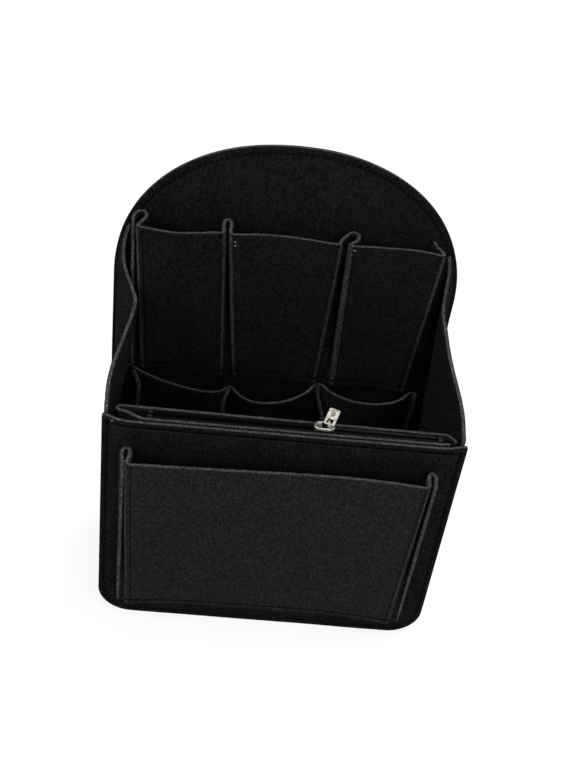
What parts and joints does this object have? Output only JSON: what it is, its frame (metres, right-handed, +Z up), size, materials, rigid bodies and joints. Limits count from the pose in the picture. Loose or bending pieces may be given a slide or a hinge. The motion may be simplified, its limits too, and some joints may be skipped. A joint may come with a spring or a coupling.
{
  "type": "bag organizer insert",
  "caption": "Black felt organizer insert that stands inside a bag: arched back panel with pleated pockets, zipped pouch behind the front panel, slip pocket in front.",
  "frame": {"origin": "centre of the bounding box on the surface that the insert stands on", "axes": "+X to the right seen from the front, +Y to the back panel, +Z up"},
  "size_m": [0.2258, 0.1218, 0.3077],
  "materials": {
    "felt": "matte pressed felt, lighter fuzz on cut edges",
    "zip_tape": "woven tape",
    "zip_coil": "satin nylon coil",
    "metal": "bright nickel plating, lightly handled",
    "thread": "twisted polyester thread"
  },
  "bodies": {
    "root": {"back_panel": "felt", "front_panel": "felt", "side_and_base_strip": "felt", "tall_pocket_strip": "felt", "short_pocket_strip": "felt", "front_slip_pocket": "felt", "zip_pouch": "felt", "zip_tape_front": "zip_tape", "zip_tape_rear": "zip_tape", "zip_coil_front": "zip_coil", "zip_coil_rear": "zip_coil", "zip_top_stop_front": "metal", "zip_top_stop_rear": "metal", "zip_bottom_stop": "metal", "front_panel_seam_thread": "thread", "front_rim_thread": "thread", "arch_stitch_thread": "thread", "back_seam_thread": "thread", "slip_pocket_hem_thread": "thread", "tall_pocket_hem_thread": "thread", "short_pocket_seam_thread_1": "thread", "short_pocket_seam_thread_2": "thread", "short_pocket_seam_thread_3": "thread", "short_pocket_seam_thread_4": "thread"},
    "slider": {"zip_slider": "metal", "zip_slider_bail": "metal"},
    "pull": {"zip_pull": "metal"}
  },
  "joints": [
    {"name": "zip_slide", "type": "slide", "parent": "root", "child": "slider", "axis": [1, 0, 0], "range_m": [-0.0954, 0.0624]},
    {"name": "pull_swing", "type": "hinge", "parent": "slider", "child": "pull", "pos_m": [0.02765, -0.03306, 0.17425], "axis": [0.9063, -0.4226, 0], "range_deg": [-27, 143]}
  ]
}
